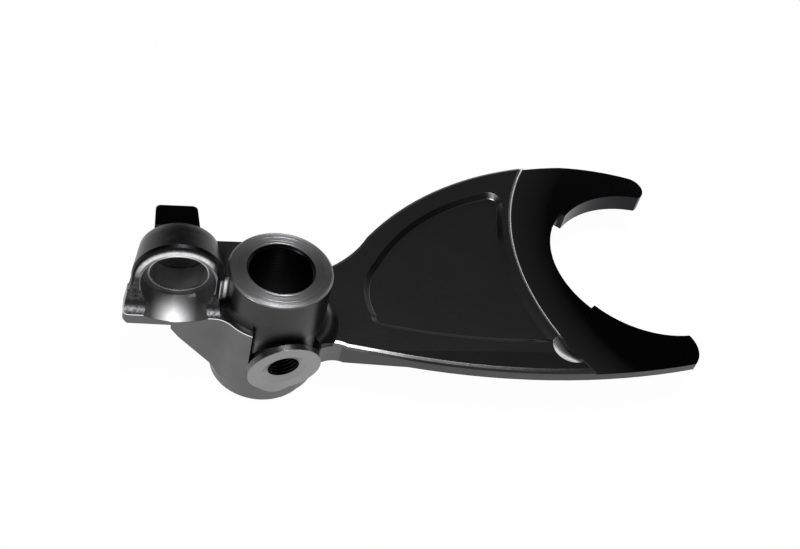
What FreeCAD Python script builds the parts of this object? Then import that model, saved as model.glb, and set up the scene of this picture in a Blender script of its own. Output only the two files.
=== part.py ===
import FreeCAD, Part

# Gear-selector fork: one forging with a rail hub, a two-pronged blade, a socket block
# and a lock-screw boss. Millimetres. +Z runs up the rail bore and +X points towards the
# prongs. The fork is drawn down from the hub's turned head and then moved up, so that the
# origin lies on the bore's axis, level with the milled land of the jaw.

import os
from math import cos, radians, sin, sqrt

from FreeCAD import Vector

# ---- rail hub, turned ----
RAIL_BORE_D = 25.0
HUB_D = 41.0
HUB_LENGTH = 55.2
BORE_CHAMFER = 1.0
HUB_EDGE_CHAMFER = 0.8
HUB_FOOT_CHAMFER = 3.0

# ---- cast root round the lower hub, a little off the bore's axis ----
ROOT_D = 41.0
ROOT_SHIFT_X = -2.6
ROOT_SHIFT_Y = -1.2
ROOT_WINDOW_X = -10.6          # the root steps back to the hub from here, above the boss

# ---- lock-screw boss: it leans down and turns a little round the hub ----
BOSS_TURN = 9.3
BOSS_DIP = 9.0
BOSS_D = 29.6
BOSS_REACH = 22.7              # rail axis to spot face, along the boss
BOSS_DROP = 30.6               # hub face down to where the two axes meet
BOSS_RIM = 2.6                 # thickness of the full round behind the spot face
BOSS_NECK_D = 26.6             # the boss behind its rim, level with it underneath
LOCK_HOLE_D = 12.5             # core of an M14 x 1.5 thread
LOCK_CHAMFER_D = 18.4

# ---- blade, as forged ----
BLADE_DROP = 28.1              # hub face down to the blade's upper face
ROOT_THICKNESS = 11.4
BLADE_THICKNESS = 5.6
TAPER_START = 19.0
TAPER_END = 54.0
BLADE_EDGE_R = 1.6
NECK_X = 45.7                  # where the neck runs into the flanks
NECK_NEAR_Y = -18.7
NECK_FAR_Y = 49.5
NECK_RISE = 1.6
ROOT_NEAR_X = 18.4
ROOT_NEAR_Y = -14.6
ROOT_WAIST_X = 28.7
ROOT_WAIST_Y = -14.9
ROOT_FAR_X = 26.5
ROOT_FAR_Y = 30.0
HUB_BLEND_R = 6.5
SHELF_BLEND_R = 5.0

# ---- jaw, milled ----
FORK_REACH = 178.5
FORK_OFFSET = 40.6
JAW_R = 44.8
RELIEF_DEPTH = 2.6
RELIEF_NEAR_ANGLE = 38.5
RELIEF_FAR_ANGLE = 40.5
NEAR_OVERHANG = 5.0            # the prongs reach past the jaw's centre
FAR_OVERHANG = 8.2
NEAR_PRONG_W = 16.0
FAR_PRONG_W = 13.4
SHOULDER_W = 18.9              # blade beyond the jaw at the far shoulder
SHOULDER_BACK = 28.5
NEAR_NOSE = 2.8                # how far each prong's end swells
FAR_NOSE = 4.2
FLANK_NEAR_RISE = 7.4
FLANK_FAR_RISE = 11.8
SHOULDER_RISE = 1.5
PAD_THICKNESS = 8.4
PAD_WIDTH = 9.0
STEP_DEPTH = 2.1
STEP_EDGE_R = 1.5
SCOOP_R = 8.2                  # cutter run-out beside the near edge
SCOOP_BACK = 0.689             # its centre lies this far behind the step's edge
SCOOP_Y = -13.7
STEP_R = 120.0
STEP_X = 233.5
STEP_Y = 39.2

# ---- sunk panel in the blade ----
PANEL_DEPTH = 1.5
PANEL_WALL = 2.6               # width of its sloping wall
PANEL_MARGIN = 3.4
PANEL_NEAR_X = 45.5
PANEL_NEAR_Y = -3.6
PANEL_BACK_X = 40.8
PANEL_BACK_Y = 3.0
PANEL_RIM_NEAR_Y = -10.8       # where the side along the step's rim begins and ends
PANEL_RIM_FAR_Y = 73.892
PANEL_CORNER_BACK = 7.015      # far corner behind the end of that side
PANEL_FAR_Y = 81.2
PANEL_SIDE_X = 46.5
PANEL_SIDE_Y = 33.0
PANEL_NEAR_RISE = 2.4          # how far each side of the panel swells
PANEL_CORNER_RISE = 2.8
PANEL_FAR_RISE = 7.0
PANEL_SIDE_RISE = 3.6
PANEL_BACK_RISE = 1.7

# ---- socket block ----
SOCKET_X = -38.7
SOCKET_Y = -0.1
SOCKET_DROP = 4.2
SOCKET_TURN = -2.5
SOCKET_DIP = 9.0
SOCKET_BORE_R = 11.0
SOCKET_BORE_DEPTH = 10.4
SOCKET_MOUTH_R = 14.1
TROUGH_HALF_W = 12.9           # the mouth opens into a wide trough over the shelf
TROUGH_SIDE_DROP = 11.4
ARCH_LEAD = 4.6                # socket seat out to the upright milled face
SHELF_LEAD = 10.4              # socket seat out to the front of the shelf
SHELF_DROP = 17.0              # hub face down to the milled shelf
SHELF_COVE_R = 6.0
BLOCK_DROP = 22.0
BLOCK_TAIL = 14.0
BLOCK_FRONT_R = 17.6
BLOCK_BACK_R = 15.3
BLOCK_BACK_ROUND = 3.0
BLOCK_FLARE = 2.4              # how far the left wall leans out at its foot
ARCH_EDGE_R = 2.0              # rolled edge round the upright milled face
LIP_CORNER_R = 1.8

# ---- lug behind the socket ----
LUG_X = -39.6
LUG_DROP = -8.1
LUG_THICKNESS = 12.0
LUG_WIDTH = 17.0
LUG_LENGTH = 10.5
LUG_CORNER_R = 2.2

# ---- web and gusset between hub and block ----
WEB_DROP = 0.8
WEB_BACK = 14.8
GUSSET_BACK = 9.0
GUSSET_KNEE_X = 1.5            # its underside slopes from the knee to the heel
GUSSET_KNEE_DROP = 28.5
GUSSET_HEEL_X = 15.0
GUSSET_HEEL_DROP = 43.5
GUSSET_BLEND_R = 9.0

BEYOND = 1.0                   # how far a cutter overshoots the face it leaves
EPS = 0.01
UP = Vector(0, 0, 1)


def vec(x, y, z=0.0):
    return Vector(x, y, z)


def outline(points):
    """Closed wire through the points; a pair (via, end) is an arc."""
    edges = []
    here = points[0]
    for item in points[1:] + [points[0]]:
        if isinstance(item, tuple):
            edges.append(Part.Arc(here, item[0], item[1]).toShape())
            here = item[1]
        elif item.distanceToPoint(here) > EPS:
            edges.append(Part.LineSegment(here, item).toShape())
            here = item
    return Part.Wire(edges)


def prism(points, z_low, z_high):
    """Upright prism over a plan outline."""
    solid = Part.Face(outline(points)).extrude(UP * (z_high - z_low))
    solid.translate(UP * z_low)
    return solid


def side_prism(points, y_front, y_back):
    """Prism over a side outline given as (x, z), running from y_front back to y_back."""
    solid = Part.Face(outline(points)).extrude(UP * (y_back - y_front))
    solid.rotate(vec(0, 0), vec(1, 0), 90)
    solid.translate(vec(0, y_back))
    return solid


def polar(centre, r, angle):
    return vec(centre.x + r * cos(radians(angle)), centre.y + r * sin(radians(angle)))


def rise(start, end, height):
    """Arc from start to end that swells to the left of the way by the height."""
    way = end - start
    side = vec(-way.y, way.x).normalize()
    return (start + way * 0.5 + side * height, end)


def tilted(turn, dip):
    """Unit vector towards -Y, turned about Z towards +X and dipped below the level."""
    a, d = radians(turn), radians(dip)
    return vec(sin(a) * cos(d), -cos(a) * cos(d), -sin(d))


def make_hub():
    """Turned hub."""
    hub = Part.makeCylinder(HUB_D / 2, HUB_LENGTH, UP * -HUB_LENGTH)
    rims = [e for e in hub.Edges if e.BoundBox.ZLength < EPS]
    head = [e for e in rims if e.BoundBox.ZMax > -EPS]
    foot = [e for e in rims if e.BoundBox.ZMax < -EPS]
    return hub.makeChamfer(HUB_EDGE_CHAMFER, head).makeChamfer(HUB_FOOT_CHAMFER, foot)


def make_root():
    """Cast lower body, stepped back to the turned hub above the boss."""
    base = vec(ROOT_SHIFT_X, ROOT_SHIFT_Y, -HUB_LENGTH)
    root = Part.makeCylinder(ROOT_D / 2, HUB_LENGTH - SHELF_DROP, base)
    foot = [e for e in root.Edges if e.BoundBox.ZMax < -HUB_LENGTH + EPS]
    root = root.makeChamfer(HUB_EDGE_CHAMFER * 2, foot)
    low = -BOSS_DROP - BOSS_D / 10
    window = Part.makeBox(HUB_D, HUB_D, -SHELF_DROP - low + BEYOND, vec(ROOT_WINDOW_X, -HUB_D, low))
    return root.cut(window)


def make_boss():
    """Round boss with a narrower neck between its rim and the hub."""
    along = tilted(BOSS_TURN, BOSS_DIP)
    start = UP * -BOSS_DROP
    rim = Part.makeCylinder(BOSS_D / 2, BOSS_RIM, start + along * (BOSS_REACH - BOSS_RIM), along)
    lower = (BOSS_D - BOSS_NECK_D) / 2
    neck = Part.makeCylinder(BOSS_NECK_D / 2, BOSS_REACH - BOSS_RIM / 2, start - UP * lower, along)
    return rim.fuse(neck)


def jaw_centre():
    return vec(FORK_REACH, FORK_OFFSET)


def blade_outline():
    """Plan of the blade: hub, near prong, jaw, far prong and back to the hub."""
    c = jaw_centre()
    relief = JAW_R + RELIEF_DEPTH
    near = 180 + RELIEF_NEAR_ANGLE
    far = 180 - RELIEF_FAR_ANGLE
    near_tip = vec(c.x + NEAR_OVERHANG, c.y - sqrt(JAW_R ** 2 - NEAR_OVERHANG ** 2))
    far_tip = vec(c.x + FAR_OVERHANG, c.y + sqrt(JAW_R ** 2 - FAR_OVERHANG ** 2))
    near_end = vec(c.x + NEAR_OVERHANG / 2, c.y - JAW_R - NEAR_PRONG_W)
    far_end = vec(c.x + FAR_OVERHANG * 0.9, c.y + JAW_R + FAR_PRONG_W)
    shoulder = vec(c.x - SHOULDER_BACK, c.y + JAW_R + SHOULDER_W)
    waist = vec(ROOT_WAIST_X, ROOT_WAIST_Y)
    near_neck = vec(NECK_X, NECK_NEAR_Y)
    far_neck = vec(NECK_X, NECK_FAR_Y)
    far_root = vec(ROOT_FAR_X, ROOT_FAR_Y)
    near_root = vec(ROOT_NEAR_X, ROOT_NEAR_Y)
    return [
        vec(HUB_D / 7, -HUB_D / 3.5),
        near_root,
        rise(near_root, waist, NECK_RISE - EPS),
        near_neck,
        rise(near_neck, near_end, -FLANK_NEAR_RISE),
        rise(near_end, near_tip, -NEAR_NOSE),
        (polar(c, JAW_R, near + RELIEF_NEAR_ANGLE), polar(c, JAW_R, near)),
        polar(c, relief, near),
        (polar(c, relief, 180), polar(c, relief, far)),
        polar(c, JAW_R, far),
        (polar(c, JAW_R, far - RELIEF_FAR_ANGLE), far_tip),
        rise(far_tip, far_end, -FAR_NOSE),
        rise(far_end, shoulder, -SHOULDER_RISE),
        rise(shoulder, far_neck, -FLANK_FAR_RISE),
        rise(far_neck, far_root, NECK_RISE),
        vec(HUB_D / 5, HUB_D / 2.2),
        vec(-HUB_D / 10, HUB_D / 5),
    ]


def make_blade():
    """Forged plate with a rolled upper edge, thick at the hub and thinning towards the jaw."""
    top = -BLADE_DROP
    low = top - ROOT_THICKNESS
    rise = ROOT_THICKNESS - BLADE_THICKNESS
    end = FORK_REACH + JAW_R
    roll = BLADE_EDGE_R
    half = roll * (1 - sin(radians(45)))
    plan = outline(blade_outline())
    levels = []
    for inset, z in ((0, low), (0, top - roll), (half, top - half), (roll, top)):
        wire = plan.makeOffset2D(-inset, 2) if inset else plan.copy()
        wire.translate(UP * z)
        levels.append(wire)
    plate = Part.makeLoft(levels, True, True)
    under = side_prism([
        vec(TAPER_START, low - BEYOND), vec(TAPER_START, low), vec(TAPER_END, low + rise),
        vec(end, low + rise), vec(end, low - BEYOND),
    ], -FORK_OFFSET * 3, FORK_OFFSET * 4)
    return plate.cut(under)


def make_hub_blend():
    """Concave blend where the blade leaves the hub."""
    r = HUB_D / 2
    z = -BLADE_DROP
    b = HUB_BLEND_R
    k = b * (1 - cos(radians(45)))
    section = Part.Face(outline([
        vec(r - BEYOND, z - BEYOND), vec(r + b, z - BEYOND), vec(r + b, z),
        (vec(r + k, z + k), vec(r, z + b)), vec(r - BEYOND, z + b),
    ]))
    section.rotate(vec(0, 0), vec(1, 0), 90)
    section.rotate(vec(0, 0), UP, -60)
    ring = section.revolve(vec(0, 0), UP, 150)
    return ring.common(prism(blade_outline(), z - BEYOND, z + b + BEYOND))


def make_pads():
    """Thick pads along the inside of each prong."""
    c = jaw_centre()
    top = -BLADE_DROP - STEP_DEPTH
    low = top - PAD_THICKNESS
    ring = Part.makeCylinder(JAW_R + PAD_WIDTH, PAD_THICKNESS, vec(c.x, c.y, low))
    middle = prism([
        c, polar(c, 2 * JAW_R, 180 + RELIEF_NEAR_ANGLE), polar(c, 3 * JAW_R, 180),
        polar(c, 2 * JAW_R, 180 - RELIEF_FAR_ANGLE),
    ], low - BEYOND, top + BEYOND)
    return ring.common(prism(blade_outline(), low, top)).cut(middle)


def step_x(y, out=0.0):
    """X of the step's edge at a Y, or of the curve that lies further out by the distance."""
    return STEP_X - sqrt((STEP_R + out) ** 2 - (y - STEP_Y) ** 2)


def make_step_cut():
    """Milled crescent round the jaw, with a rolled upper edge and the cutter's run-out."""
    low = -BLADE_DROP - STEP_DEPTH
    top = -BLADE_DROP
    roll = STEP_EDGE_R
    half = roll * (1 - cos(radians(45)))
    section = Part.Face(outline([
        vec(0, low), vec(STEP_R, low), vec(STEP_R, top - roll),
        (vec(STEP_R + half, top - half), vec(STEP_R + roll, top)),
        vec(STEP_R + roll, top + BEYOND), vec(0, top + BEYOND),
    ]))
    section.rotate(vec(0, 0), vec(1, 0), 90)
    cut = section.revolve(vec(0, 0), UP, 360)
    cut.translate(vec(STEP_X, STEP_Y))
    ball = (SCOOP_R ** 2 + STEP_DEPTH ** 2) / (2 * STEP_DEPTH)
    scoop_x = step_x(SCOOP_Y) - SCOOP_BACK
    scoop = Part.makeSphere(ball, vec(scoop_x, SCOOP_Y, low + ball + EPS))
    return cut, scoop


def panel_level(corners, rises, inset, z):
    """Wire round the panel at one level, drawn in from its corners by the inset."""
    sides = []
    for start, end in zip(corners, corners[1:] + corners[:1]):
        way = end - start
        sides.append(vec(-way.y, way.x).normalize())
    moved = []
    for corner, before, after in zip(corners, sides[-1:] + sides[:-1], sides):
        moved.append(corner + (before + after) * (inset / (1 + before.dot(after))))
    arcs = [rise(*pair) for pair in zip(moved, moved[1:] + moved[:1], rises)]
    wire = outline(moved[:1] + arcs)
    wire.translate(UP * z)
    return wire


def make_panel_cut():
    """Shallow panel with sloping walls, held back from the milled step by a rim."""
    out = STEP_EDGE_R + PANEL_MARGIN
    near_rim = vec(step_x(PANEL_RIM_NEAR_Y, out), PANEL_RIM_NEAR_Y)
    far_rim = vec(step_x(PANEL_RIM_FAR_Y, out), PANEL_RIM_FAR_Y)
    corners = [
        vec(PANEL_NEAR_X, PANEL_NEAR_Y), near_rim, far_rim,
        vec(far_rim.x - PANEL_CORNER_BACK, PANEL_FAR_Y),
        vec(PANEL_SIDE_X, PANEL_SIDE_Y), vec(PANEL_BACK_X, PANEL_BACK_Y),
    ]
    r = STEP_R + out
    rim_rise = r - sqrt(r ** 2 - ((far_rim - near_rim).Length / 2) ** 2)
    rises = [-PANEL_NEAR_RISE, rim_rise, -PANEL_CORNER_RISE, -PANEL_FAR_RISE, -PANEL_SIDE_RISE,
             -PANEL_BACK_RISE]
    over = BEYOND * PANEL_WALL / PANEL_DEPTH
    floor = panel_level(corners, rises, PANEL_WALL, -BLADE_DROP - PANEL_DEPTH)
    top = panel_level(corners, rises, -over, -BLADE_DROP + BEYOND)
    return Part.makeLoft([floor, top], True, True)


def to_block(shape):
    """Shapes drawn with the socket at the origin and its front towards -Y go to their place."""
    shape.rotate(vec(0, 0), UP, SOCKET_TURN)
    shape.translate(vec(SOCKET_X, SOCKET_Y))
    return shape


def block_section(shrink, r, y):
    """Round-topped upright section of the block, as a wire at the depth y."""
    z = -SOCKET_DROP
    side = r - shrink
    flare = BLOCK_FLARE * r / BLOCK_FRONT_R - shrink
    wire = outline([
        vec(-r - flare, -BLOCK_DROP + 2), vec(-side, z), (vec(0.5, z + side + 0.8), vec(side, z)),
        vec(side, -BLOCK_DROP), vec(-r - flare + 2, -BLOCK_DROP),
    ])
    wire.rotate(vec(0, 0), vec(1, 0), 90)
    wire.translate(vec(0, y))
    return wire


def make_block():
    """Round-topped socket block with a rolled front edge, bevelled at the back, on its lip."""
    roll = ARCH_EDGE_R
    half = roll * (1 - sin(radians(45)))
    bevel = BLOCK_BACK_ROUND
    body = Part.makeLoft([
        block_section(roll * 0.8, BLOCK_FRONT_R, -ARCH_LEAD),
        block_section(half * 0.8, BLOCK_FRONT_R, -ARCH_LEAD + half),
        block_section(0, BLOCK_FRONT_R, -ARCH_LEAD + roll),
        block_section(0, BLOCK_BACK_R, BLOCK_TAIL - bevel),
        block_section(bevel, BLOCK_BACK_R, BLOCK_TAIL),
    ], True, True)
    left = BLOCK_FRONT_R + BLOCK_FLARE
    lean = BLOCK_FLARE / (BLOCK_DROP - 2 - SOCKET_DROP)
    top = -SHELF_DROP + SHELF_COVE_R
    lip = side_prism([
        vec(-left, -BLOCK_DROP + 2), vec(-left + lean * (top + BLOCK_DROP - 2), top),
        vec(BLOCK_FRONT_R - ARCH_EDGE_R, top), vec(BLOCK_FRONT_R, -BLOCK_DROP),
        vec(-left + 2, -BLOCK_DROP),
    ], -SHELF_LEAD, 0)
    front = [e for e in lip.Edges if e.BoundBox.YMax < BEYOND - SHELF_LEAD]
    corner = [e for e in front if e.BoundBox.XMax < -left + 2 and e.BoundBox.ZLength > 5]
    lip = lip.makeFillet(LIP_CORNER_R, corner)
    return to_block(body.fuse(lip))


def make_shelf_blend():
    """Concave blend where the shelf meets the hub, on the root's shoulder."""
    r = HUB_D / 2
    b = SHELF_BLEND_R
    k = b * (1 - cos(radians(45)))
    z = -SHELF_DROP
    section = Part.Face(outline([
        vec(r - BEYOND, z - BEYOND), vec(r + b, z - BEYOND), vec(r + b, z),
        (vec(r + k, z + k), vec(r, z + b)), vec(r - BEYOND, z + b),
    ]))
    section.rotate(vec(0, 0), vec(1, 0), 90)
    section.rotate(vec(0, 0), UP, 185)
    ring = section.revolve(vec(0, 0), UP, 80)
    base = vec(ROOT_SHIFT_X, ROOT_SHIFT_Y, z - 2 * BEYOND)
    shoulder = Part.makeCylinder(ROOT_D / 2, b + 4 * BEYOND, base)
    window = Part.makeBox(HUB_D, HUB_D, HUB_D, vec(ROOT_WINDOW_X, -HUB_D, z - HUB_D / 2))
    return ring.common(shoulder).cut(window)


def make_mouth(seat):
    """Cutter for the socket's mouth: round at the seat, a wide trough in front."""
    r = SOCKET_MOUTH_R
    front = SHELF_LEAD + BEYOND * 4
    c = cos(radians(30))
    back = outline([
        vec(r, 0), (vec(0, r), vec(-r, 0)), (vec(-r * c, -r / 2), vec(-r / 2, -r * c)),
        (vec(0, -r), vec(r / 2, -r * c)), (vec(r * c, -r / 2), vec(r, 0)),
    ])
    w = TROUGH_HALF_W
    d = TROUGH_SIDE_DROP
    wide = outline([
        vec(r, 0), (vec(0, r), vec(-r, 0)),
        (vec(-(r + w) / 2 - BEYOND / 2, -d / 2), vec(-w, -d)), (vec(0, -r - EPS), vec(w, -d)),
        (vec((r + w) / 2 + BEYOND / 2, -d / 2), vec(r, 0)),
    ])
    wide.translate(UP * front)
    mouth = Part.makeLoft([back, wide], True, True)
    mouth.rotate(vec(0, 0), vec(1, 0), 90)
    mouth.rotate(vec(0, 0), vec(1, 0), SOCKET_DIP)
    mouth.rotate(vec(0, 0), UP, SOCKET_TURN)
    mouth.translate(seat)
    return mouth


def make_shelf_cut():
    """What the cutter clears in front of the arch and above the shelf, with its cove."""
    r = SHELF_COVE_R
    y = -ARCH_LEAD
    z = -SHELF_DROP
    k = r * (1 - cos(radians(45)))
    ahead = SHELF_LEAD + HUB_D
    face = Part.Face(outline([
        vec(y, HUB_D), vec(y, z + r), (vec(y - k, z + k), vec(y - r, z)),
        vec(y - ahead, z), vec(y - ahead, HUB_D),
    ]))
    cut = face.extrude(UP * (4 * HUB_D))
    cut.rotate(vec(0, 0), vec(1, 0), 90)
    cut.rotate(vec(0, 0), UP, 90)
    cut.translate(vec(-2 * HUB_D, 0))
    hub = Part.makeCylinder(HUB_D / 2, HUB_LENGTH, UP * -HUB_LENGTH)
    return to_block(cut).cut(hub).cut(make_shelf_blend())


def make_lug():
    """Square lug standing out behind the socket."""
    w = LUG_WIDTH / 2
    taper = 0.6
    lug = prism([
        vec(-w - taper, 0), vec(-w + taper, BLOCK_TAIL + LUG_LENGTH),
        vec(w - taper, BLOCK_TAIL + LUG_LENGTH), vec(w + taper, 0),
    ], -LUG_DROP - LUG_THICKNESS, -LUG_DROP)
    corners = [e for e in lug.Edges if e.BoundBox.ZLength > EPS and e.BoundBox.YMin > BLOCK_TAIL]
    lug = lug.makeFillet(LUG_CORNER_R, corners)
    lug.translate(vec(LUG_X, 0))
    return lug


def make_web():
    """Plate between hub and block, level with the hub's head."""
    return prism([
        vec(SOCKET_X, -ARCH_LEAD), vec(0, -ARCH_LEAD), vec(0, WEB_BACK),
        vec(-HUB_D / 2 - 3.5, WEB_BACK), vec(SOCKET_X, WEB_BACK - 3),
    ], -BLOCK_DROP, -WEB_DROP)


def make_gusset():
    """Deep rib under the shelf, from the block's underside to the foot of the hub."""
    foot = HUB_LENGTH - HUB_FOOT_CHAMFER
    profile = side_prism([
        vec(-1.8, -SHELF_DROP), vec(-1.6, -BLOCK_DROP - 2),
        vec(GUSSET_KNEE_X, -GUSSET_KNEE_DROP), vec(GUSSET_HEEL_X, -GUSSET_HEEL_DROP),
        vec(21.0, -foot), vec(HUB_D, -foot), vec(HUB_D, -SHELF_DROP),
    ], -HUB_D, HUB_D)
    profile = to_block(profile)
    # plan: straight front, then a hollow blend that meets the root's cylinder square on
    turn = radians(SOCKET_TURN)
    root = vec(ROOT_SHIFT_X, ROOT_SHIFT_Y)
    along = vec(cos(turn), sin(turn))
    out = vec(sin(turn), -cos(turn))
    front = vec(SOCKET_X, SOCKET_Y) + out * SHELF_LEAD
    b = GUSSET_BLEND_R
    depth = (front - root).dot(out) + b
    reach = sqrt((ROOT_D / 2 + b) ** 2 - depth ** 2)
    hollow = root + out * depth - along * reach
    start = hollow - out * b
    end = root + (hollow - root) * (ROOT_D / 2 / (ROOT_D / 2 + b))
    middle = hollow + ((start + end) * 0.5 - hollow).normalize() * b
    plan = prism([
        front - along * HUB_D, start, (middle, end), root, root - out * (GUSSET_BACK + 4),
        vec(SOCKET_X, GUSSET_BACK) - along * HUB_D,
    ], -HUB_LENGTH, -SHELF_DROP)
    return profile.common(plan)


def make_fork():
    hub = make_hub()
    body = hub.fuse([make_root(), make_boss(), make_blade(), make_hub_blend(), make_block(),
                     make_lug(), make_web(), make_gusset(), make_shelf_blend()])
    for tool in (make_shelf_cut(), *make_step_cut(), make_panel_cut()):
        body = body.cut(tool)
    body = body.fuse(make_pads())

    boss = tilted(BOSS_TURN, BOSS_DIP)
    face = UP * -BOSS_DROP + boss * BOSS_REACH
    sink = (LOCK_CHAMFER_D - LOCK_HOLE_D) / 2
    socket = tilted(SOCKET_TURN, SOCKET_DIP)
    seat = vec(SOCKET_X, SOCKET_Y, -SOCKET_DROP)
    bore_r = RAIL_BORE_D / 2
    c = BORE_CHAMFER
    tools = [
        Part.makeCylinder(bore_r, HUB_LENGTH + 2 * BEYOND, UP * (-HUB_LENGTH - BEYOND)),
        Part.makeCone(bore_r, bore_r + c + BEYOND, c + BEYOND, UP * -c),
        Part.makeCone(bore_r + c + BEYOND, bore_r, c + BEYOND, UP * (-HUB_LENGTH - BEYOND)),
        Part.makeCylinder(LOCK_HOLE_D / 2, BOSS_REACH + BEYOND, UP * -BOSS_DROP, boss),
        Part.makeCone(LOCK_HOLE_D / 2, LOCK_CHAMFER_D / 2 + 2 * BEYOND, sink / 2 + BEYOND,
                      face - boss * (sink / 2), boss),
        make_mouth(seat),
        Part.makeCylinder(SOCKET_BORE_R, SOCKET_BORE_DEPTH + BEYOND,
                          seat - socket * SOCKET_BORE_DEPTH, socket),
    ]
    for tool in tools:
        body = body.cut(tool)
    body.translate(UP * (BLADE_DROP + STEP_DEPTH))
    return body


def main():
    os.makedirs("parts", exist_ok=True)
    fork = make_fork()
    fork.exportStep("parts/selector_fork.step")
    box = fork.BoundBox
    print("solids", len(fork.Solids), "valid", fork.isValid(), "volume", round(fork.Volume))
    print("box", [round(v, 1) for v in (box.XMin, box.YMin, box.ZMin, box.XMax, box.YMax, box.ZMax)])


main()
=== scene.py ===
"""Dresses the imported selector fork's metal, zone by zone, and sets it in a white studio."""

from __future__ import annotations

import functools
import logging
import math
import operator
from dataclasses import dataclass
from enum import Enum
from typing import Any, NamedTuple

import bpy
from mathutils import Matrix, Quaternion, Vector


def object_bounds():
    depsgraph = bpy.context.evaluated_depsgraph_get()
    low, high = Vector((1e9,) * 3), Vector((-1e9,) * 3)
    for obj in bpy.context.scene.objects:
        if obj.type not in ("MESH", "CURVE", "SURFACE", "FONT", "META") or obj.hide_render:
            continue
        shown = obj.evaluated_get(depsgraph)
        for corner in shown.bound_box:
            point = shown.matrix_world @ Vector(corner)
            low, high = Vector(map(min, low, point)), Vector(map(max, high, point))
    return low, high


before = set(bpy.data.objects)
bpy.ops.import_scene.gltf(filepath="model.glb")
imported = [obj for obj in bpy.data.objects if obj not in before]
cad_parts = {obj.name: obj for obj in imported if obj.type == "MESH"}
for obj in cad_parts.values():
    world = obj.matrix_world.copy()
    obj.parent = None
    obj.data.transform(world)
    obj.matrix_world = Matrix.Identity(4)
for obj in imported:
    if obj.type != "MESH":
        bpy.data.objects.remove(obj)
LOG = logging.getLogger("selector_fork")
CAD_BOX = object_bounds()

MM_PER_M = 1000.0
CRISP = 0.04  # half the width of a sharp change in a mask, in millimetres
FLAT = (0.06, 0.02)  # reach and softness of a mask that picks one flat level
HUB_R = 20.5  # turned radius of the hub, in millimetres
FLOOR_GAP = 0.0002  # metres from the part's lowest point down to the floor
WHITE = (1.0, 1.0, 1.0, 1.0)


class Rays(Enum):
    """Kinds of ray that a stage surface answers in its own way."""

    CAMERA = "Is Camera Ray"
    GLOSSY = "Is Glossy Ray"
    TRANSMISSION = "Is Transmission Ray"


class On(Enum):
    """Coordinates of the shaded point, in millimetres in the part's frame."""

    X = "towards the blade"
    Y = "towards the lug"
    Z = "up the rail's axis"
    RAIL = "distance from the rail's axis"
    STEP = "distance from the centre of the crescent's step"
    SCOOP = "distance from the centre of the cutter's run-out"
    # The shining side is where the run-out's painted highlight lies.
    LEAN = "way across the run-out towards its shining side"
    JAW = "distance from the jaw's centre"
    LEAD = "level distance in front of the socket's seat"
    ACROSS = "level distance from the socket's axis towards the hub"
    COVE = "distance from the axis of the cove between arch and shelf"
    SOCKET_OUT = "way out along the socket's axis"
    SOCKET = "distance from the socket's axis"
    SCREW_OUT = "way out along the lock screw's axis"
    SCREW = "distance from the lock screw's axis"


class Value:
    """A number on a node socket, with Python arithmetic."""

    def __init__(self, kit: NodeKit, socket: Any) -> None:
        """Wrap a socket.

        Args:
            kit: The node kit that adds Math nodes.
            socket: The output socket to wrap.
        """
        self.kit = kit
        self.socket = socket

    def _math(self, operation: str, *others: Any, clamp: bool = False) -> Value:
        """Add one Math node with this value first.

        Args:
            operation: The node's operation.
            *others: The values or numbers of its further inputs.
            clamp: Whether the result is held between 0 and 1.

        Returns:
            The result.
        """
        settings = {"operation": operation, "use_clamp": clamp}
        inputs = dict(enumerate((self, *others)))
        return Value(self.kit, self.kit.node("ShaderNodeMath", settings, inputs).outputs[0])

    def __add__(self, other: Any) -> Value:
        """Sum."""
        return self._math("ADD", other)

    __radd__ = __add__

    def __mul__(self, other: Any) -> Value:
        """Product."""
        return self._math("MULTIPLY", other)

    __rmul__ = __mul__

    def __sub__(self, other: Any) -> Value:
        """Difference."""
        return self._math("SUBTRACT", other)

    def __rsub__(self, other: Any) -> Value:
        """Difference from a number."""
        return self * -1.0 + other

    def squared(self) -> Value:
        """Square."""
        return self * self

    def root(self) -> Value:
        """Square root."""
        return self._math("SQRT")

    def size(self) -> Value:
        """Absolute value."""
        return self._math("ABSOLUTE")

    def sine(self) -> Value:
        """Sine of the value in radians."""
        return self._math("SINE")

    def held(self) -> Value:
        """The value, held between 0 and 1."""
        return self._math("ADD", 0.0, clamp=True)

    def spread(self, factor: float) -> Value:
        """The value, drawn apart about one half."""
        return (self - 0.5) * factor + 0.5

    def above(self, edge: float, soft: float) -> Value:
        """Mask that is 1 over an edge and 0 under it.

        Args:
            edge: Where the mask is one half.
            soft: Half the width of the change.

        Returns:
            The mask.
        """
        slope = 0.5 / soft
        return self._math("MULTIPLY_ADD", slope, 0.5 - edge * slope, clamp=True)

    def below(self, edge: float, soft: float) -> Value:
        """Mask that is 1 under an edge and 0 over it.

        Args:
            edge: Where the mask is one half.
            soft: Half the width of the change.

        Returns:
            The mask.
        """
        slope = 0.5 / soft
        return self._math("MULTIPLY_ADD", -slope, 0.5 + edge * slope, clamp=True)


class Grain(NamedTuple):
    """A noise: cells per millimetre, octaves and how strong the fine ones are."""

    scale: float
    detail: float
    rough: float


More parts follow.
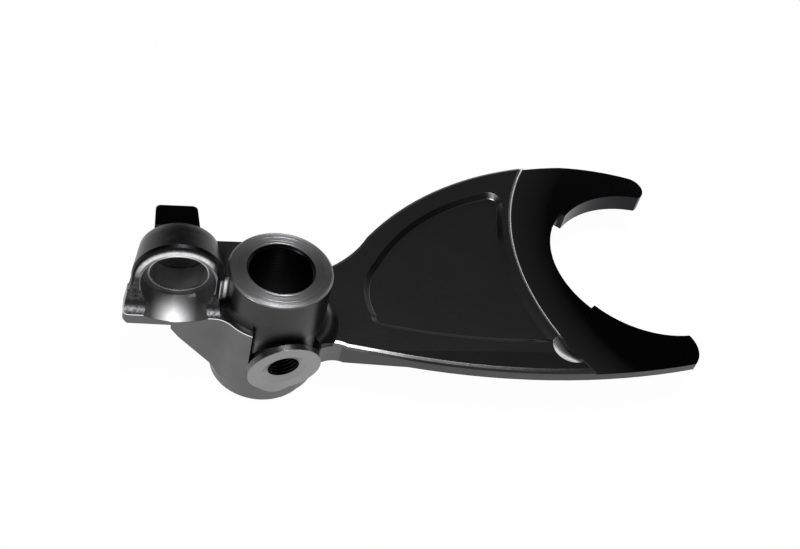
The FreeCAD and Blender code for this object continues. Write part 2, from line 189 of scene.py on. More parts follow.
class NodeKit:
    """Adds nodes to one tree."""

    def __init__(self, tree: Any) -> None:
        """Start with an empty tree.

        Args:
            tree: The node tree to build.
        """
        self.tree = tree
        tree.nodes.clear()

    def node(self, kind: str, settings: dict | None = None, inputs: dict | None = None) -> Any:
        """Add a node.

        Args:
            kind: The node's type.
            settings: Properties that are set first.
            inputs: Socket names or numbers with their values, links or wrapped values.

        Returns:
            The node.
        """
        made = self.tree.nodes.new(kind)
        for key, setting in (settings or {}).items():
            setattr(made, key, setting)
        for key, given in (inputs or {}).items():
            socket = made.inputs[key]
            if isinstance(given, Value):
                given = given.socket
            if isinstance(given, bpy.types.NodeSocket):
                self.tree.links.new(given, socket)
            else:
                socket.default_value = given
        return made

    def value(self, socket: Any) -> Value:
        """Wrap a socket as a number."""
        return Value(self, socket)

    def noise(self, place: Any, grain: Grain) -> Value:
        """Add a noise pattern.

        Args:
            place: Vector socket that places the pattern, in millimetres.
            grain: The noise.

        Returns:
            The noise, about 0.3 to 0.7.
        """
        inputs = {"Vector": place, "Scale": grain.scale, "Detail": grain.detail, "Roughness": grain.rough}
        return self.value(self.node("ShaderNodeTexNoise", None, inputs).outputs[0])

    def blend(self, mask: Any, under: Any, over: Any) -> Any:
        """Mix two colours.

        Args:
            mask: 0 shows the first colour and 1 the second.
            under: Colour or link shown where the mask is 0.
            over: Colour or link shown where the mask is 1.

        Returns:
            The mixed colour's socket.
        """
        settings = {"data_type": "RGBA"}
        return self.node("ShaderNodeMix", settings, {0: mask, 6: under, 7: over}).outputs[2]


@dataclass(frozen=True)
class Over:
    """Keeps what lies over an edge.

    Attributes:
        on: The coordinate.
        edge: Where the mask is one half.
        soft: Half the width of the change.
    """

    on: On
    edge: float
    soft: float = CRISP

    def mask(self, along: Value) -> Value:
        """Mask of what lies over the edge."""
        return along.above(self.edge, self.soft)


@dataclass(frozen=True)
class Under:
    """Keeps what lies under an edge.

    Attributes:
        on: The coordinate.
        edge: Where the mask is one half.
        soft: Half the width of the change.
    """

    on: On
    edge: float
    soft: float = CRISP

    def mask(self, along: Value) -> Value:
        """Mask of what lies under the edge."""
        return along.below(self.edge, self.soft)


@dataclass(frozen=True)
class Near:
    """Keeps what lies near a centre.

    Attributes:
        on: The coordinate.
        centre: Middle of the band.
        reach: Half its width.
        soft: Half the width of its edges.
    """

    on: On
    centre: float
    reach: float
    soft: float = CRISP

    def mask(self, along: Value) -> Value:
        """Mask of what lies near the centre."""
        return (along - self.centre).size().below(self.reach, self.soft)


Limits = tuple[Over | Under | Near, ...]


@dataclass(frozen=True)
class Point:
    """The shaded point.

    Attributes:
        places: Its coordinates.
    """

    places: dict[On, Value]

    def within(self, limits: Limits) -> Value:
        """Mask of where the point keeps to every limit."""
        return functools.reduce(operator.mul, (limit.mask(self.places[limit.on]) for limit in limits))


class Circle(NamedTuple):
    """A circle seen from above, in millimetres."""

    x: float
    y: float
    radius: float

    def distance(self, x: Value, y: Value) -> Value:
        """Distance from its centre."""
        return ((x - self.x).squared() + (y - self.y).squared()).root()


@dataclass(frozen=True)
class Axis:
    """A straight axis that points to -Y, turned and dipped.

    Attributes:
        base: A point on the axis, in millimetres.
        turn: Degrees about Z, towards +X.
        dip: Degrees below the level.
    """

    base: tuple[float, float, float]
    turn: float
    dip: float

    def coordinates(self, x: Value, y: Value, z: Value) -> tuple[Value, Value]:
        """Give a point's way out along the axis and its distance from it.

        Args:
            x: The point's X.
            y: The point's Y.
            z: The point's Z.

        Returns:
            The way out and the distance.
        """
        turn, dip = math.radians(self.turn), math.radians(self.dip)
        u, v, w = x - self.base[0], y - self.base[1], z - self.base[2]
        level = u * math.sin(turn) - v * math.cos(turn)
        out = level * math.cos(dip) - w * math.sin(dip)
        return out, (u.squared() + v.squared() + w.squared() - out.squared()).root()

    def level_coordinates(self, x: Value, y: Value) -> tuple[Value, Value]:
        """Give a point's level distance in front of the base, and across from the axis.

        Args:
            x: The point's X.
            y: The point's Y.

        Returns:
            The distance in front and the distance across, towards +X.
        """
        turn = math.radians(self.turn)
        u, v = x - self.base[0], y - self.base[1]
        return u * math.sin(turn) - v * math.cos(turn), u * math.cos(turn) + v * math.sin(turn)


@dataclass(frozen=True)
class MetalFinish:
    """One finish of the bare metal.

    Attributes:
        dark: Colour where its pattern is 0.
        light: Colour where its pattern is 1.
        rough: Roughness at 0 and at 1.
    """

    dark: tuple[float, float, float]
    light: tuple[float, float, float]
    rough: tuple[float, float]

    def shade(self, kit: NodeKit, pattern: Value) -> tuple[Any, Value]:
        """Give the finish's colour and roughness under a pattern.

        Args:
            kit: The node kit.
            pattern: The pattern, 0 to 1.

        Returns:
            The colour's socket and the roughness.
        """
        low, high = self.rough
        colour = kit.blend(pattern, (*self.dark, 1.0), (*self.light, 1.0))
        return colour, pattern * (high - low) + low


FORGED = MetalFinish((0.108, 0.108, 0.110), (0.150, 0.150, 0.151), (0.33, 0.27))
# SCALE is not forge scale. It is painted shade on the panel's far wall and corner, the near roll, the hub's
# fillet and the shelf blend.
SCALE = MetalFinish((0.020, 0.020, 0.021), (0.040, 0.040, 0.041), (0.36, 0.30))
TURNED = MetalFinish((0.24, 0.24, 0.246), (0.36, 0.36, 0.368), (0.32, 0.31))
# Painted shade on the dome behind the arch.
DOME_PAINTED_SHADE = MetalFinish((0.009, 0.009, 0.010), (0.017, 0.017, 0.018), (0.36, 0.30))
# Turned hub wall, laid on its front half only: partly its finish, partly painted shade.
TURNED_WALL_PAINTED_SHADE = MetalFinish((0.044, 0.044, 0.044), (0.066, 0.066, 0.065), (0.34, 0.28))
# Milled crescent. Its fade from dark, away from the step, to light near it is a painted reflection.
LAND_PAINTED_SHADE = MetalFinish((0.0025, 0.0025, 0.003), (0.115, 0.115, 0.120), (0.34, 0.28))
JAW_WALL = MetalFinish((0.014, 0.014, 0.016), (0.030, 0.030, 0.033), (0.34, 0.26))
FLANK = MetalFinish((0.066, 0.066, 0.067), (0.092, 0.092, 0.093), (0.33, 0.27))
# Painted shade in near-black: the lug's top, the panel's near wall and the arch's side by the web.
BLACK_PAINTED_SHADE = MetalFinish((0.003, 0.003, 0.0045), (0.006, 0.006, 0.008), (0.36, 0.30))
# Milled arch face; its bright top is a painted highlight.
ARCH_TOP_PAINTED_HIGHLIGHT = MetalFinish((0.66, 0.66, 0.665), (0.97, 0.97, 0.97), (0.50, 0.42))
# Milled arch face; its dull lower part is painted shade with rubbed flecks.
ARCH_FOOT_PAINTED_SHADE = MetalFinish((0.008, 0.008, 0.009), (0.11, 0.11, 0.113), (0.46, 0.36))
# Painted highlights on edges: the step's roll, the run-out's wall, the shelf's front edge, the socket's
# lower edge and a streak beside the arch.
RIM_PAINTED_HIGHLIGHT = MetalFinish((0.80, 0.80, 0.805), (0.95, 0.95, 0.955), (0.30, 0.24))
# Socket wall: pale as machined metal, and made paler still as painted light inside the deep, shaded socket.
SOCKET = MetalFinish((0.72, 0.72, 0.73), (0.80, 0.80, 0.81), (0.46, 0.42))
# Painted shade at the socket's blind end.
SOCKET_END_PAINTED_SHADE = MetalFinish((0.045, 0.045, 0.046), (0.060, 0.060, 0.062), (0.42, 0.38))
SHOULDER = MetalFinish((0.14, 0.14, 0.142), (0.19, 0.19, 0.193), (0.42, 0.38))
# Trough: its pale middle band is a painted highlight and its dark sides are painted shade.
TROUGH_PAINTED_HIGHLIGHT = MetalFinish((0.17, 0.17, 0.175), (0.97, 0.97, 0.98), (0.36, 0.46))
SPOT_FACE = MetalFinish((0.24, 0.24, 0.242), (0.28, 0.28, 0.283), (0.40, 0.34))
# Painted shade inside the rail bore and the lock screw's hole, with tool-mark stripes in the bore.
BORE_PAINTED_SHADE = MetalFinish((0.004, 0.004, 0.005), (0.022, 0.022, 0.024), (0.36, 0.28))

FINE = Grain(1.9, 4.0, 0.6)
BROAD = Grain(0.055, 3.0, 0.5)
RUBBED = Grain(0.8, 5.0, 0.7)
LUMPY = Grain(0.45, 2.0, 0.55)


@dataclass(frozen=True)
class Hub:
    """Turned rail hub with its bore.

    Attributes:
        bore_r: Bore's radius at its rim.
        head_z: Height of the turned head's lower rim.
        bore: Where the bore is.
        head: Where the turned head is, bore and all.
        wall: Where the turned wall shows, front half only; its darker finish there is partly turned finish,
            partly painted shade.
        bore_marks: Angle of the bore's tool marks per millimetre of height, in radians.
    """

    bore_r: float = 13.5
    head_z: float = 29.35
    bore: Limits = (Under(On.RAIL, bore_r - 0.05),)
    head: Limits = (Over(On.Z, head_z), Under(On.RAIL, HUB_R + 0.1))
    wall: Limits = (Near(On.RAIL, HUB_R, 0.2), Over(On.Z, 9.0, 1.5), Under(On.Z, head_z),
                    Under(On.Y, 4.0, 6.0))
    bore_marks: float = 5.0

    def masks(self, at: Point) -> dict[str, Value]:
        """Make the hub's masks and patterns.

        Args:
            at: The shaded point.

        Returns:
            The masks and patterns by name.
        """
        bore = at.within(self.bore)
        face = at.within(self.head) * (1 - bore)
        wall = at.within(self.wall)
        return {
            "bore": bore,
            "face": face,
            "wall": wall,
            "bore_streak": (at.places[On.Z] * self.bore_marks).sine() * 0.5 + 0.5,
            "machined": face + wall + bore,
        }


@dataclass(frozen=True)
class Blade:
    """Two-pronged blade. Heights are over the milled crescent, which lies at Z 0.

    Attributes:
        step: The crescent's step.
        step_roll: Radius of the step's rolled upper edge.
        scoop: The cutter's run-out.
        scoop_lean: Direction in X and Y in which the painted highlight on the run-out's wall lies.
        jaw: The jaw's milled walls.
        raised: Height from which the forged face stands over the crescent.
        land: Where the milled crescent and the pads are.
        land_painted_fade: Where the crescent turns from dark to light, a painted reflection.
        step_edge: Where the step's roll carries a painted highlight.
        scoop_glint: Where the run-out's wall carries a painted highlight.
        jaw_wall: Where the jaw's walls are milled.
        panel_roll: Where the sunk panel's walls may be.
        panel_wall: Where the panel's near wall is painted black as shade.
        far_roll: Where the panel's far wall is darkened as painted shade.
        far_corner: Where the panel's corner by the far prong is darkened as painted shade.
        near_roll: Where the rolled near edge is darkened as painted shade.
        hub_root: Where the fillet between blade and hub is darkened as painted shade.
        flank: Where the blade's near flank is, a little darker than the skin.
    """

    step: Circle = Circle(233.5, 39.2, 120.0)
    step_roll: float = 1.5
    scoop: Circle = Circle(125.1, -13.7, 8.2)
    scoop_lean: tuple[float, float] = (-0.9, -0.44)
    jaw: Circle = Circle(178.5, 40.6, 47.4)
    raised: Over = Over(On.Z, 0.12, 0.05)
    land: Limits = (Near(On.Z, 0.0, *FLAT), Under(On.STEP, step.radius + 0.05))
    land_painted_fade: Limits = (Over(On.STEP, step.radius - 9.0, 9.0),)
    step_edge: Limits = (Near(On.STEP, step.radius + step_roll / 2, step_roll * 0.6), raised,
                         Over(On.Y, -7.4, 0.8))
    scoop_glint: Limits = (Under(On.SCOOP, scoop.radius + 0.05), Under(On.Z, 2.05),
                           Over(On.STEP, step.radius), Over(On.LEAN, 2.2, 1.0))
    jaw_wall: Limits = (Under(On.JAW, jaw.radius + 0.1), Under(On.Z, -0.05))
    panel_roll: Limits = (Near(On.Z, 1.42, 0.64, 0.03), Over(On.STEP, step.radius + 3.0, 0.5))
    panel_wall: Limits = (*panel_roll, Near(On.X, 76.0, 34.0, 1.0), Near(On.Y, -7.5, 8.2, 0.4))
    far_roll: Limits = (*panel_roll, Near(On.X, 61.0, 34.0, 1.0), Over(On.Y, 0.9, 0.3))
    far_corner: Limits = (*panel_roll, Near(On.X, 103.0, 9.0, 1.0), Over(On.Y, 50.0, 4.0))
    near_roll: Limits = (Near(On.Z, 1.3, 0.8, 0.1), Over(On.X, 40.0, 14.0), Under(On.Y, -16.4, 0.3))
    hub_root: Limits = (Near(On.RAIL, 23.6, 3.2, 0.2), Under(On.Z, 8.0, 1.0), Over(On.X, 8.0, 2.0),
                        Under(On.Y, 2.0, 2.0), raised)
    flank: Limits = (Under(On.Z, 0.55, 0.1), Over(On.X, 27.0), Under(On.Y, -13.0))

    def places(self, x: Value, y: Value) -> dict[On, Value]:
        """Give a point's coordinates on the blade.

        Args:
            x: The point's X.
            y: The point's Y.

        Returns:
            The coordinates.
        """
        lean_x, lean_y = self.scoop_lean
        return {
            On.STEP: self.step.distance(x, y),
            On.SCOOP: self.scoop.distance(x, y),
            On.LEAN: (x - self.scoop.x) * lean_x + (y - self.scoop.y) * lean_y,
            On.JAW: self.jaw.distance(x, y),
        }

    def masks(self, at: Point) -> dict[str, Value]:
        """Make the blade's masks and patterns.

        Args:
            at: The shaded point.

        Returns:
            The masks and patterns by name.
        """
        land, jaw = at.within(self.land), at.within(self.jaw_wall)
        # painted highlights on the step's roll and the run-out's wall
        rim = at.within(self.step_edge) + at.within(self.scoop_glint)
        # Painted shade on the panel's far wall and corner, the near roll and the hub's fillet.
        dark = [at.within(zone) for zone in (self.far_roll, self.far_corner, self.near_roll, self.hub_root)]
        return {
            "land": land,
            "land_painted_fade": at.within(self.land_painted_fade),
            "jaw": jaw,
            "flank": at.within(self.flank) * (1 - land),
            "shade": functools.reduce(operator.add, dark),
            "black": at.within(self.panel_wall),
            "rim": rim,
            "machined": land + jaw + rim,
        }


@dataclass(frozen=True)
class Block:
    """Socket block with its arch, trough, milled shelf and lug.

    Attributes:
        axis: Axis of the socket, from its seat.
        mouth_r: Radius of the socket's mouth and of the trough.
        socket_r: Radius of the blind socket.
        arch_lead: How far the arch's face stands before the seat.
        lip_lead: How far the lip's front stands before the seat.
        shelf_z: Height of the milled shelf.
        cove_r: Radius of the cove between arch and shelf.
        lug_z: Height of the lug's top.
        slack: How far masks reach past the walls that they pick.
        bowl: Where the socket is.
        bowl_front: Where the socket's front takes the trough's finish.
        trough: Where the trough may be.
        trough_round: Where the trough hugs the socket's round.
        trough_low: Where the trough lies under the socket's axis.
        trough_painted_highlight: Where the trough's pale band lies, a painted highlight.
        behind_arch: Where the block lies behind the arch's face.
        outside_cove: Where it lies outside the cove.
        arch: Where the arch's face and the shelf are milled.
        arch_top_painted_highlight: Where the milled face is bright, a painted highlight.
        arch_foot_painted_shade: Where it is dull, painted shade.
        arch_side: Where it is black, a painted shadow.
        pit: Where the socket ends; the finish there is painted shade.
        shoulder: Where the shoulder round the socket is.
        socket_edge: Where the socket's lower edge carries a painted highlight.
        shelf_blend: Where the blend between shelf and hub is darkened as painted shade.
        dome: Where the dome behind the arch is darkened as painted shade.
        shelf_edge: Where the shelf's front edge carries a painted highlight.
        streak: Where a painted highlight stands beside the arch as a bright streak.
        lug: Where the lug's top is; it is painted black as shade.
    """

    axis: Axis = Axis((-38.7, -0.1, 26.0), turn=-2.5, dip=9.0)
    mouth_r: float = 14.1
    socket_r: float = 11.0
    arch_lead: float = 4.6
    lip_lead: float = 10.4
    shelf_z: float = 13.2
    cove_r: float = 6.0
    lug_z: float = 38.3
    slack: float = 0.12
    bowl: Limits = (Under(On.SOCKET, mouth_r + slack), Over(On.SOCKET_OUT, -10.6), Under(On.X, -20.0))
    bowl_front: Limits = (Over(On.SOCKET_OUT, 0.2, 0.2),)
    trough: Limits = (Near(On.ACROSS, 0.0, mouth_r + 0.25), Over(On.SOCKET_OUT, 0.0),
                      Under(On.LEAD, lip_lead - 0.1), Over(On.Z, 9.6), Under(On.Z, axis.base[2] + mouth_r))
    trough_round: Limits = (Under(On.SOCKET, mouth_r + 0.9),)
    trough_low: Limits = (Under(On.Z, axis.base[2] - 2.0, 1.0),)
    trough_painted_highlight: Limits = (Near(On.ACROSS, -0.8, 4.6, 4.2),)
    behind_arch: Limits = (Under(On.LEAD, arch_lead - 0.1),)
    outside_cove: Limits = (Over(On.COVE, cove_r + slack),)
    arch: Limits = (Over(On.LEAD, arch_lead - slack), Over(On.Z, shelf_z - 0.1),
                    Over(On.RAIL, HUB_R + 0.05), Under(On.X, 0.0))
    arch_top_painted_highlight: Limits = (Over(On.Z, 31.0, 4.0), Under(On.SOCKET, mouth_r + 2.5, 0.5),
                        Under(On.ACROSS, 11.5, 1.5))
    arch_foot_painted_shade: Limits = (Under(On.ACROSS, 19.0, 1.5),)
    arch_side: Limits = (Near(On.ACROSS, 15.6, 2.2, 0.8), Over(On.Z, 19.0, 3.0))
    pit: Limits = (Under(On.SOCKET_OUT, -10.2, 0.1),)
    shoulder: Limits = (Over(On.SOCKET_OUT, -0.6, 0.1), Over(On.SOCKET, socket_r + 0.4, 0.1))
    socket_edge: Limits = (Over(On.SOCKET_OUT, -0.6, 0.1), Under(On.Z, axis.base[2], 2.0),
                           Near(On.SOCKET, socket_r + 0.1, 0.4, 0.15))
    shelf_blend: Limits = (Near(On.RAIL, 23.3, 2.7, 0.2), Near(On.Z, 15.8, 2.75, 0.1),
                           Under(On.X, 4.0), Under(On.Y, 4.0))
    dome: Limits = (Under(On.LEAD, arch_lead - 0.1), Under(On.ACROSS, 17.8, 0.2), Under(On.X, -21.0, 2.5),
                    Over(On.Z, shelf_z + 7.0, 5.0), Under(On.Y, 10.0, 3.0), Over(On.SOCKET, mouth_r + 0.6))
    shelf_edge: Limits = (Near(On.Z, shelf_z - 0.28, 0.24), Over(On.LEAD, 3.0), Under(On.X, 6.0),
                          Over(On.RAIL, HUB_R + 0.2))
    streak: Limits = (Near(On.ACROSS, 17.0, 1.2, 0.3), Near(On.LEAD, 3.0, 1.9, 0.3),
                      Near(On.Z, 23.0, 4.5, 1.0))
    lug: Limits = (Near(On.Z, lug_z, *FLAT), Over(On.Y, 13.4))

    def places(self, x: Value, y: Value, z: Value) -> dict[On, Value]:
        """Give a point's coordinates on the block.

        Args:
            x: The point's X.
            y: The point's Y.
            z: The point's Z.

        Returns:
            The coordinates.
        """
        lead, across = self.axis.level_coordinates(x, y)
        out, away = self.axis.coordinates(x, y, z)
        cove_lead, cove_up = lead - (self.arch_lead + self.cove_r), z - (self.shelf_z + self.cove_r)
        cove = (cove_lead.squared() + cove_up.squared()).root()
        return {On.LEAD: lead, On.ACROSS: across, On.COVE: cove, On.SOCKET_OUT: out, On.SOCKET: away}

    def masks(self, at: Point) -> dict[str, Value]:
        """Make the block's masks and patterns.

        Args:
            at: The shaded point.

        Returns:
            The masks and patterns by name.
        """
        bowl, behind = at.within(self.bowl), at.within(self.behind_arch)
        sunk = behind + (1 - behind) * at.within(self.outside_cove)
        snug = (at.within(self.trough_round) + at.within(self.trough_low)).held()
        inside = (bowl + at.within(self.trough) * snug * sunk).held()
        outside = 1 - inside
        arch, lug = at.within(self.arch) * outside, at.within(self.lug)
        # painted highlights: the streak beside the arch, the shelf's front edge and the socket's lower edge
        rim = (at.within(self.streak) + at.within(self.shelf_edge) * outside
               + at.within(self.socket_edge) * bowl)
        return {
            "socket": bowl,
            "socket_end": bowl * at.within(self.pit),
            "shoulder": bowl * at.within(self.shoulder),
            "trough": inside * (1 - bowl) + bowl * at.within(self.bowl_front),
            "trough_painted_highlight": at.within(self.trough_painted_highlight),
            "arch_foot_painted_shade": arch * at.within(self.arch_foot_painted_shade),
            "arch_top_painted_highlight": arch * at.within(self.arch_top_painted_highlight),
            "dome": at.within(self.dome) * outside,
            # painted shade in the blend between shelf and hub
            "shade": at.within(self.shelf_blend),
            # painted shade: the lug's top and the arch's side by the web
            "black": lug + arch * at.within(self.arch_side),
            "rim": rim,
            "machined": inside + arch + lug + rim,
        }


@dataclass(frozen=True)
class Boss:
    """Lock-screw boss with its spot face, countersink and threaded hole.

    Attributes:
        axis: Axis of the lock screw, from the rail's axis.
        spot_lead: Distance of the spot face from the rail's axis.
        spot_r: Spot face's radius.
        hole_r: Radius of the screw's hole.
        pitch: Thread pitch.
        spot: Where the spot face is.
        countersink: Where the countersink is, spot face and all.
        hole: Where the hole is, from the rail bore outwards.
        spot_marks: Angle of the spot face's tool marks per millimetre, in radians.
        mark_height: Height of those marks.
        thread_height: Height of the thread's wave.
    """

    axis: Axis = Axis((0.0, 0.0, -0.4), turn=9.3, dip=9.0)
    spot_lead: float = 22.7
    spot_r: float = 14.8
    hole_r: float = 6.25
    pitch: float = 1.5
    spot: Limits = (Over(On.SCREW_OUT, spot_lead - 0.1), Under(On.SCREW, spot_r + 0.1))
    countersink: Limits = (Under(On.SCREW, 9.3), Over(On.SCREW_OUT, spot_lead - 1.7))
    hole: Limits = (Under(On.SCREW, hole_r + 0.1), Over(On.SCREW_OUT, 10.0))
    spot_marks: float = 12.0
    mark_height: float = 0.004
    thread_height: float = 0.25

    def places(self, x: Value, y: Value, z: Value) -> dict[On, Value]:
        """Give a point's coordinates on the boss.

        Args:
            x: The point's X.
            y: The point's Y.
            z: The point's Z.

        Returns:
            The coordinates.
        """
        out, away = self.axis.coordinates(x, y, z)
        return {On.SCREW_OUT: out, On.SCREW: away}

    def masks(self, at: Point, bore: Value) -> dict[str, Value]:
        """Make the boss's masks and the height of its tool marks and thread.

        Args:
            at: The shaded point.
            bore: Mask of the rail bore.

        Returns:
            The masks by name, and the height under "cuts".
        """
        spot, hole = at.within(self.spot), at.within(self.hole) * (1 - bore)
        faced = spot + at.within(self.countersink) * (1 - spot)
        marks = (at.places[On.SCREW] * self.spot_marks).sine()
        thread = (at.places[On.SCREW_OUT] * (math.tau / self.pitch)).sine()
        return {
            "spot": faced,
            "hole": hole,
            "cuts": spot * marks * self.mark_height + hole * thread * self.thread_height,
            "machined": faced + hole,
        }


@dataclass(frozen=True)
class Fork:
    """The whole fork's metal.

    Attributes:
        hub: The rail hub.
        blade: The blade.
        block: The socket block.
        boss: The lock-screw boss.
        fine_share: Share of the fine grain in the skin's pattern; the broad one has the rest.
        skin_spread: How strongly the skin's pattern shows.
        rub_spread: How strongly the rubbed pattern shows.
        ring_spread: How strongly the turning rings show.
        rings: Turning rings per millimetre of the hub's face.
        fine_height: Height of the skin's fine grain, in millimetres.
        lump_height: Height of the skin's lumps.
        ring_height: Height of the turning rings.
    """

    hub: Hub = Hub()
    blade: Blade = Blade()
    block: Block = Block()
    boss: Boss = Boss()
    fine_share: float = 0.25
    skin_spread: float = 2.2
    rub_spread: float = 2.6
    ring_spread: float = 2.0
    rings: float = 7.0
    fine_height: float = 0.022
    lump_height: float = 0.07
    ring_height: float = 0.078

    def point(self, kit: NodeKit, millimetres: Any) -> Point:
        """Give the shaded point's coordinates.

        Args:
            kit: The node kit.
            millimetres: Vector socket with its place.

        Returns:
            The point.
        """
        parts = kit.node("ShaderNodeSeparateXYZ", None, {0: millimetres}).outputs
        x, y, z = (kit.value(part) for part in parts)
        from_rail = (x.squared() + y.squared()).root()
        return Point({
            On.X: x, On.Y: y, On.Z: z, On.RAIL: from_rail,
            **self.blade.places(x, y), **self.block.places(x, y, z), **self.boss.places(x, y, z),
        })

    def zones(self, at: Point) -> dict[str, Value]:
        """Join the sub-parts' masks; those of one name add up.

        Args:
            at: The shaded point.

        Returns:
            The masks and patterns by name.
        """
        joined = self.hub.masks(at)
        bore = joined["bore"]
        for masks in (self.blade.masks(at), self.block.masks(at), self.boss.masks(at, bore)):
            for name, mask in masks.items():
                joined[name] = joined[name] + mask if name in joined else mask
        return joined

    def material(self) -> bpy.types.Material:
        """Build the material.

        Returns:
            The material.
        """
        made = bpy.data.materials.new("fork_metal")
        made.use_nodes = True
        kit = NodeKit(made.node_tree)
        place = kit.node("ShaderNodeTexCoord").outputs["Object"]
        millimetres = kit.node("ShaderNodeVectorMath", {"operation": "SCALE"},
                               {0: place, "Scale": MM_PER_M}).outputs[0]
        at = self.point(kit, millimetres)
        zones = self.zones(at)

        fine, broad = kit.noise(millimetres, FINE), kit.noise(millimetres, BROAD)
        skin = (broad * (1 - self.fine_share) + fine * self.fine_share).spread(self.skin_spread)
        rub = kit.noise(millimetres, RUBBED).spread(self.rub_spread)
        rings = kit.value(kit.node("ShaderNodeTexNoise", {"noise_dimensions": "1D"}, {
            "W": at.places[On.RAIL], "Scale": self.rings, "Detail": 0.0,
        }).outputs[0])
        colour, rough = FORGED.shade(kit, skin)
        for name, finish, pattern in (
            # painted reflection across the crescent
            ("land", LAND_PAINTED_SHADE, zones["land_painted_fade"]),
            ("jaw", JAW_WALL, broad),
            ("flank", FLANK, broad),
            # painted shade with tool-mark stripes
            ("bore", BORE_PAINTED_SHADE, zones["bore_streak"]),
            # turned finish with painted shade, front half only
            ("wall", TURNED_WALL_PAINTED_SHADE, broad),
            # painted shade
            ("shade", SCALE, broad),
            # painted shade
            ("dome", DOME_PAINTED_SHADE, broad),
            ("face", TURNED, rings.spread(self.ring_spread)),
            # painted shade
            ("arch_foot_painted_shade", ARCH_FOOT_PAINTED_SHADE, rub),
            # painted highlight
            ("arch_top_painted_highlight", ARCH_TOP_PAINTED_HIGHLIGHT, rub),
            ("spot", SPOT_FACE, fine),
            # machined finish with painted light
            ("socket", SOCKET, broad),
            ("shoulder", SHOULDER, broad),
            # painted shade
            ("socket_end", SOCKET_END_PAINTED_SHADE, broad),
            # painted highlight across the trough
            ("trough", TROUGH_PAINTED_HIGHLIGHT, zones["trough_painted_highlight"]),
            # painted shade
            ("black", BLACK_PAINTED_SHADE, broad),
            # painted shade
            ("hole", BORE_PAINTED_SHADE, fine),
            # painted highlights
            ("rim", RIM_PAINTED_HIGHLIGHT, fine),
        ):
            mask = zones[name].held()
            over, over_rough = finish.shade(kit, pattern)
            colour = kit.blend(mask, colour, over)
            rough = rough + (over_rough - rough) * mask

        lumps = kit.noise(millimetres, LUMPY)
        skin_height = fine * self.fine_height + lumps * self.lump_height
        ring_height = zones["face"] * rings * self.ring_height
        height = skin_height * (1 - zones["machined"].held()) + zones["cuts"] + ring_height
        bump = kit.node("ShaderNodeBump", None, {
            "Strength": 1.0, "Distance": 1.0 / MM_PER_M, "Height": height,
        })
        shader = kit.node("ShaderNodeBsdfPrincipled", None, {
            "Base Color": colour, "Metallic": 1.0, "Roughness": rough, "Normal": bump.outputs[0],
        })
        kit.node("ShaderNodeOutputMaterial", None, {0: shader.outputs[0]})
        return made


@dataclass(frozen=True)
class Sweep:
    """Round white sweep: a floor that curves up into a wall. Sizes are in metres.

    Attributes:
        floor_z: Height of the floor.
        centre: X and Y of its middle.
        radius: Radius at which it starts to rise.
        wall: Height of its wall.
        cove_r: Radius of the curve between floor and wall.
        cove_steps: Number of steps in that curve.
        sides: Number of sides of the round.
        paper_grey: Grey of the paper that the lamps light.
        paper_glow: Share of plain white in the paper, as the eye and the metal see it.
    """

    floor_z: float
    centre: tuple[float, float] = (0.06, 0.04)
    radius: float = 3.0
    wall: float = 0.4
    cove_r: float = 0.6
    cove_steps: int = 8
    sides: int = 96
    paper_grey: float = 0.86
    paper_glow: float = 0.98

    def build(self) -> bpy.types.Object:
        """Model the sweep.

        Returns:
            The sweep.
        """
        bpy.ops.mesh.primitive_circle_add(vertices=self.sides, radius=self.radius, fill_type="NGON",
                                          location=(*self.centre, self.floor_z))
        floor = bpy.context.object
        floor.name = "sweep"
        bpy.ops.object.mode_set(mode="EDIT")
        bpy.ops.mesh.select_mode(type="EDGE")
        bpy.ops.mesh.select_all(action="SELECT")
        bpy.ops.mesh.region_to_loop()
        radius = self.radius
        step = math.pi / 2 / self.cove_steps
        for number in range(1, self.cove_steps + 1):
            angle = number * step
            wanted = self.radius + self.cove_r * math.sin(angle)
            rise = self.cove_r * (math.cos(angle - step) - math.cos(angle))
            self.raise_rim(rise, wanted / radius)
            radius = wanted
        self.raise_rim(self.wall, 1.0)
        bpy.ops.mesh.select_all(action="SELECT")
        bpy.ops.mesh.normals_make_consistent(inside=True)
        bpy.ops.object.mode_set(mode="OBJECT")
        bpy.ops.object.shade_smooth()
        floor.data.materials.append(self.paper())
        return floor

    @staticmethod
    def raise_rim(rise: float, spread: float) -> None:
        """Extrude the selected rim upwards and spread it.

        Args:
            rise: Height of the step.
            spread: Factor on its radius.
        """
        bpy.ops.mesh.extrude_edges_move(TRANSFORM_OT_translate={"value": (0, 0, rise)})
        bpy.ops.transform.resize(value=(spread, spread, 1.0))

    def paper(self) -> bpy.types.Material:
        """Make the white paper, which the eye and the metal see as plain white.

        Returns:
            The material.
        """
        material = bpy.data.materials.new("white_paper")
        material.use_nodes = True
        kit = NodeKit(material.node_tree)
        rays = kit.node("ShaderNodeLightPath").outputs
        seen = kit.value(rays[Rays.CAMERA.value])
        seen = seen + rays[Rays.GLOSSY.value] + rays[Rays.TRANSMISSION.value]
        grey = (self.paper_grey, self.paper_grey, self.paper_grey, 1.0)
        matt = kit.node("ShaderNodeBsdfDiffuse", None, {"Color": grey})
        glow = kit.node("ShaderNodeEmission", None, {"Color": WHITE, "Strength": 1.0})
        mixed = kit.node("ShaderNodeMixShader", None, {
            0: seen * self.paper_glow, 1: matt.outputs[0], 2: glow.outputs[0],
        })
        kit.node("ShaderNodeOutputMaterial", None, {0: mixed.outputs[0]})
        return material


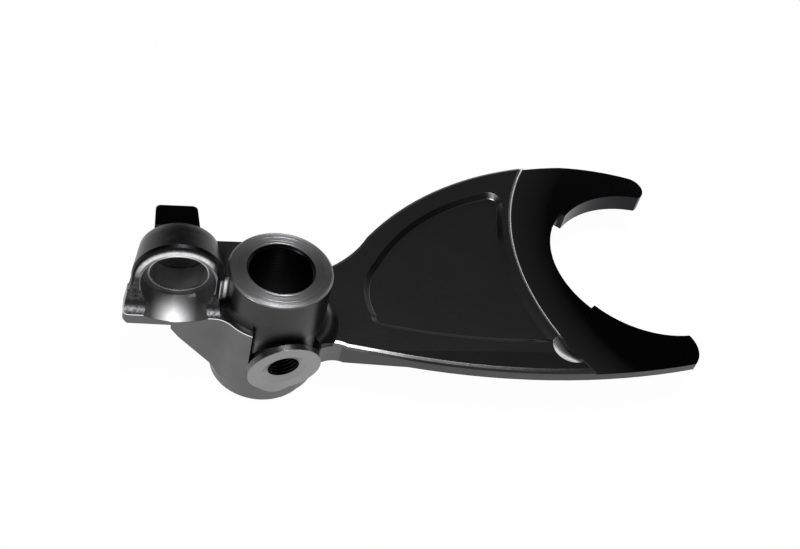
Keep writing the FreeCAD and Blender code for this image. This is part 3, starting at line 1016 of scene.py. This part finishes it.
@dataclass(frozen=True)
class Lamp:
    """One soft box.

    Attributes:
        name: Its name.
        place: Where it hangs, in metres.
        aim: What it points at.
        size: Its width and height.
        watts: Its power.
    """

    name: str
    place: tuple[float, float, float]
    aim: tuple[float, float, float]
    size: tuple[float, float]
    watts: float

    def hang(self) -> None:
        """Add the lamp to the scene."""
        bpy.ops.object.light_add(type="AREA", location=self.place)
        lamp = bpy.context.object
        lamp.name = self.name
        lamp.data.shape = "RECTANGLE"
        lamp.data.size, lamp.data.size_y = self.size
        lamp.data.energy = self.watts
        lamp.rotation_mode = "QUATERNION"
        lamp.rotation_quaternion = (Vector(self.aim) - Vector(self.place)).to_track_quat("-Z", "Y")


@dataclass(frozen=True)
class Camera:
    """The camera, up high in front of the hub and held a little askew.

    Attributes:
        place: Where it stands, in metres.
        aim: What it looks at, level with the milled crescent.
        roll: Degrees that it is turned about its own view.
        lens: Focal length in millimetres.
        sensor: Sensor width in millimetres.
        clip: Distance in metres from which it sees.
    """

    place: tuple[float, float, float] = (-0.07007, -0.31993, 0.35856)
    aim: tuple[float, float, float] = (0.057612, 0.028085, 0.0)
    roll: float = 15.984
    lens: float = 54.0
    sensor: float = 36.0
    clip: float = 0.01

    def place_in_scene(self) -> None:
        """Add the camera and make it the scene's own."""
        bpy.ops.object.camera_add(location=self.place)
        camera = bpy.context.object
        look = (Vector(self.aim) - Vector(self.place)).to_track_quat("-Z", "Y")
        camera.rotation_mode = "QUATERNION"
        camera.rotation_quaternion = look @ Quaternion((0.0, 0.0, 1.0), math.radians(self.roll))
        camera.data.lens = self.lens
        camera.data.sensor_width = self.sensor
        camera.data.clip_start = self.clip
        bpy.context.scene.camera = camera


@dataclass(frozen=True)
class Studio:
    """White sweep, dim room, soft lamps and the camera.

    Attributes:
        sweep: The sweep.
        sky: Colour of the room's own light.
        lamps: The lamps.
        camera: The camera.
    """

    sweep: Sweep
    sky: tuple[float, float, float] = (0.04, 0.04, 0.0416)
    lamps: tuple[Lamp, ...] = (
        Lamp("key", (0.15, -0.085, 1.00), (0.04, 0.0, 0.0), (0.24, 0.40), 4.2),
        Lamp("top", (-0.04, -0.10, 1.05), (0.0, 0.01, 0.0), (0.16, 0.45), 5.8),
        Lamp("left", (-0.66, -0.39, 0.67), (0.0, 0.0, 0.0), (0.2, 0.2), 1.5),
    )
    camera: Camera = Camera()

    def room(self) -> None:
        """Light the room dimly and evenly; the eye sees it white like the sweep."""
        world = bpy.data.worlds.new("room")
        bpy.context.scene.world = world
        world.use_nodes = True
        kit = NodeKit(world.node_tree)
        dim = kit.node("ShaderNodeBackground", None, {"Color": (*self.sky, 1.0), "Strength": 1.0})
        white = kit.node("ShaderNodeBackground", None, {"Color": WHITE, "Strength": 1.0})
        seen = kit.node("ShaderNodeLightPath").outputs[Rays.CAMERA.value]
        mixed = kit.node("ShaderNodeMixShader", None, {
            0: seen, 1: dim.outputs[0], 2: white.outputs[0],
        })
        kit.node("ShaderNodeOutputWorld", None, {0: mixed.outputs[0]})

    def build(self) -> None:
        """Set everything up."""
        self.sweep.build()
        self.room()
        for lamp in self.lamps:
            lamp.hang()
        self.camera.place_in_scene()
        bpy.context.scene.view_settings.view_transform = "Standard"


def main() -> None:
    """Dress the fork, set the studio up and report."""
    logging.basicConfig(level=logging.INFO)
    bpy.ops.object.select_all(action="DESELECT")
    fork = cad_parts["selector_fork"]
    fork.data.materials.clear()
    fork.data.materials.append(Fork().material())
    LOG.info("selector_fork: %d faces dressed", len(fork.data.polygons))
    Studio(Sweep(floor_z=CAD_BOX[0].z - FLOOR_GAP)).build()


if __name__ == "__main__":
    main()
